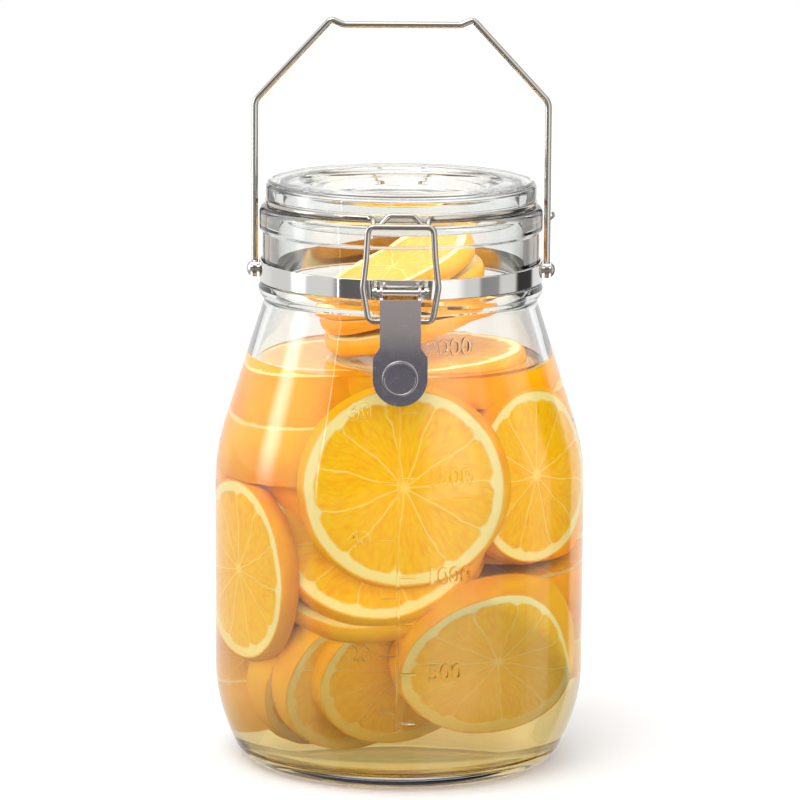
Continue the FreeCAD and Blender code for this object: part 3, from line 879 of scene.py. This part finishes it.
nodeSteel = {
    "lid_wire": "brightWire", "latch_loop": "brightWire", "handle": "brightWire",
    "neck_band": "bandSteel", "front_bracket": "bandSteel", "rear_bracket": "bandSteel",
    "latch_pin": "bandSteel", "stud_right": "bandSteel", "stud_left": "bandSteel",
}
for nodeName, steelName in nodeSteel.items():
    node = nodes[nodeName]
    if not node.material_slots:
        node.data.materials.append(steels[steelName])
    for slotPlace in node.material_slots:
        slotPlace.material = steels[steelName]
say("pieces dressed")

# ---- room
room = {
    "floorHalf": 3.0,
    "floorDrop": 0.0002,
    "floorLift": 0.1,
    "floorPale": (252, 252, 252),
    "floorMirrored": (150, 148, 144),
    "ambient": 0.95,
    "litThroughGlass": 4.5,
    "behindGlass": 1.0,
    "beforeGlass": 0.6,
    "above": 1.2,
    "lowShare": 0.55,
    "darkFront": 0.5,
    # where each change begins and ends, by the direction's own x, y and z
    "upBand": (0.4, 0.8),
    "lowBand": (-0.5, -0.25),
    "aheadBand": (0.75, 0.95),
    "raisedBand": (-0.04, 0.1),
    "backBand": (-0.35, 0.1),
    # what shiny surfaces see round the object: degrees from the front towards +X, and how bright
    "round": [
        (-180, 1.0), (-135, 1.0), (-128, 0.9), (-60, 0.95), (-57, 0.9), (-52, 0.15), (-28, 0.18), (-22, 0.36),
        (11, 0.4), (23, 1.45), (46, 1.45), (54, 0.9), (66, 0.9), (69, 0.35), (86, 0.4), (89, 0.9), (106, 0.9),
        (110, 0.05), (132, 0.06), (137, 1.0), (180, 1.0),
    ],
    "brightest": 2.0,
}


def buildWorld(look):
    world = bpy.data.worlds.new("studio")
    bpy.context.scene.world = world
    world.use_nodes = True
    tree = world.node_tree
    background = tree.nodes["Background"]
    place = addNode(tree, "ShaderNodeTexCoord")
    parts = tree.nodes.new("ShaderNodeSeparateXYZ")
    tree.links.new(place.outputs["Generated"], parts.inputs[0])
    path = addNode(tree, "ShaderNodeLightPath")
    turn = maths(tree, "ARCTAN2", parts.outputs[0], maths(tree, "MULTIPLY", parts.outputs[1], -1.0))
    share = maths(tree, "ADD", maths(tree, "DIVIDE", turn, math.tau), 0.5)
    ramp = tree.nodes.new("ShaderNodeValToRGB")
    tree.links.new(share, ramp.inputs["Fac"])
    stops = ramp.color_ramp.elements
    while len(stops) < len(look["round"]):
        stops.new(0.5)
    for index, (degrees, bright) in enumerate(look["round"]):
        stops[index].position = degrees / 360 + 0.5
        stops[index].color = (bright / look["brightest"],) * 3 + (1,)
    level = maths(tree, "MULTIPLY", ramp.outputs["Color"], look["brightest"])
    upward = softStep(tree, parts.outputs[2], *look["upBand"])
    low = softStep(tree, parts.outputs[2], *look["lowBand"])
    level = maths(tree, "MULTIPLY", level, maths(tree, "MULTIPLY_ADD", low, 1 - look["lowShare"], look["lowShare"]))
    ahead = softStep(tree, maths(tree, "MULTIPLY", parts.outputs[1], -1.0), *look["aheadBand"])
    raised = maths(tree, "MULTIPLY", ahead, softStep(tree, parts.outputs[2], *look["raisedBand"]))
    level = maths(tree, "MULTIPLY", level, maths(tree, "MULTIPLY_ADD", raised, -look["darkFront"], 1.0))
    shiny = mixColours(tree, upward, (1, 1, 1, 1), (look["above"],) * 3 + (1,))
    tree.links.new(level, shiny.node.inputs[6])
    backward = softStep(tree, parts.outputs[1], *look["backBand"])
    clear = mixColours(tree, backward, (look["beforeGlass"],) * 3 + (1,), (look["behindGlass"],) * 3 + (1,))
    inside = maths(tree, "MULTIPLY", path.outputs["Is Transmission Ray"],
                   maths(tree, "MINIMUM", path.outputs["Diffuse Depth"], 1.0))
    mirrored = maths(tree, "MINIMUM", path.outputs["Glossy Depth"], 1.0)
    clear = mixColours(tree, mirrored, clear, shiny)
    seen = mixColours(tree, path.outputs["Is Glossy Ray"], (look["ambient"],) * 3 + (1,), shiny)
    seen = mixColours(tree, path.outputs["Is Transmission Ray"], seen, clear)
    seen = mixColours(tree, inside, seen, (look["litThroughGlass"],) * 3 + (1,))
    final = mixColours(tree, path.outputs["Is Camera Ray"], seen, (1, 1, 1, 1))
    tree.links.new(final, background.inputs["Color"])
    background.inputs["Strength"].default_value = 1.0


def buildFloor(look):
    selectNothing()
    bpy.ops.mesh.primitive_plane_add(size=2 * look["floorHalf"], location=(0, 0, -look["floorDrop"]))
    floor = bpy.context.object
    floor.name = "paleFloor"
    applyPlace(floor)
    material, tree, shader = newMaterial("paleFloor")
    shader.inputs["Roughness"].default_value = 0.9
    path = addNode(tree, "ShaderNodeLightPath")
    shader.inputs["Emission Color"].default_value = (1, 1, 1, 1)
    tree.links.new(maths(tree, "MULTIPLY", path.outputs["Is Camera Ray"], look["floorLift"]),
                   shader.inputs["Emission Strength"])
    mirrored = maths(tree, "MULTIPLY", maths(tree, "MINIMUM", path.outputs["Glossy Depth"], 1.0),
                     maths(tree, "SUBTRACT", 1.0, maths(tree, "MINIMUM", path.outputs["Diffuse Depth"], 1.0)))
    tone = mixColours(tree, mirrored, colour(*look["floorPale"]), colour(*look["floorMirrored"]))
    tree.links.new(tone, shader.inputs["Base Color"])
    floor.data.materials.append(material)
    floor.visible_glossy = False


def addSoftbox(name, place, aim, width, height, strength):
    selectNothing()
    bpy.ops.object.light_add(type="AREA", location=place)
    lamp = bpy.context.object
    lamp.name = name
    lamp.data.name = name
    lamp.data.shape = "RECTANGLE"
    lamp.data.size = width
    lamp.data.size_y = height
    lamp.data.energy = strength
    lamp.rotation_euler = (Vector(aim) - Vector(place)).to_track_quat("-Z", "Y").to_euler()
    lamp.visible_camera = False


# a card that only shiny surfaces see, bright in the middle and soft towards its edges
def addGlowCard(name, place, aim, width, height, strength, softness):
    selectNothing()
    bpy.ops.mesh.primitive_plane_add(size=1.0, location=place)
    card = bpy.context.object
    card.name = name
    card.scale = (width, height, 1)
    card.rotation_euler = (Vector(aim) - Vector(place)).to_track_quat("Z", "Y").to_euler()
    material = bpy.data.materials.new(name)
    material.use_nodes = True
    tree = material.node_tree
    tree.nodes.remove(tree.nodes["Principled BSDF"])
    spot = addNode(tree, "ShaderNodeTexCoord")
    parts = tree.nodes.new("ShaderNodeSeparateXYZ")
    tree.links.new(spot.outputs["Object"], parts.inputs[0])
    across = softStep(tree, maths(tree, "SUBTRACT", 0.5, maths(tree, "ABSOLUTE", parts.outputs[0])), 0.0, softness)
    along = softStep(tree, maths(tree, "SUBTRACT", 0.5, maths(tree, "ABSOLUTE", parts.outputs[1])), 0.0, softness)
    glow = tree.nodes.new("ShaderNodeEmission")
    clear = tree.nodes.new("ShaderNodeBsdfTransparent")
    both = tree.nodes.new("ShaderNodeMixShader")
    glow.inputs["Strength"].default_value = strength
    tree.links.new(maths(tree, "MULTIPLY", across, along), both.inputs[0])
    tree.links.new(clear.outputs[0], both.inputs[1])
    tree.links.new(glow.outputs[0], both.inputs[2])
    tree.links.new(both.outputs[0], tree.nodes["Material Output"].inputs["Surface"])
    card.data.materials.append(material)
    for ray in ("camera", "diffuse", "transmission", "shadow"):
        setattr(card, "visible_" + ray, False)


cameraView = {"place": (0, -1.7, 0.445), "lens": 205.2, "sensor": 36.0, "down": 10.28, "roll": 0.34, "far": 50}


def buildCamera(view):
    selectNothing()
    bpy.ops.object.camera_add(location=view["place"])
    camera = bpy.context.object
    camera.data.sensor_width = view["sensor"]
    camera.data.lens = view["lens"]
    camera.data.clip_end = view["far"]
    camera.matrix_world = (Matrix.Translation(Vector(view["place"]))
                           @ Matrix.Rotation(math.radians(90) - math.radians(view["down"]), 4, "X")
                           @ Matrix.Rotation(math.radians(view["roll"]), 4, "Z"))
    bpy.context.scene.camera = camera


buildWorld(room)
buildFloor(room)
addGlowCard("glowLeft", (-0.55, -0.02, 0.3), (0, 0, 0.14), 0.22, 0.62, 9, 0.45)
addGlowCard("glowLine", (-0.42, -0.36, 0.26), (0, 0, 0.14), 0.012, 0.5, 7, 0.3)
addSoftbox("softboxTop", (-0.5, -0.6, 1.5), (0, 0, 0.1), 1.2, 1.2, 10)
buildCamera(cameraView)
bpy.context.scene.view_settings.view_transform = "Standard"
bpy.context.scene.cycles.transmission_bounces = 20
bpy.context.scene.cycles.max_bounces = 26
bpy.context.scene.cycles.transparent_max_bounces = 16
say("studio set")
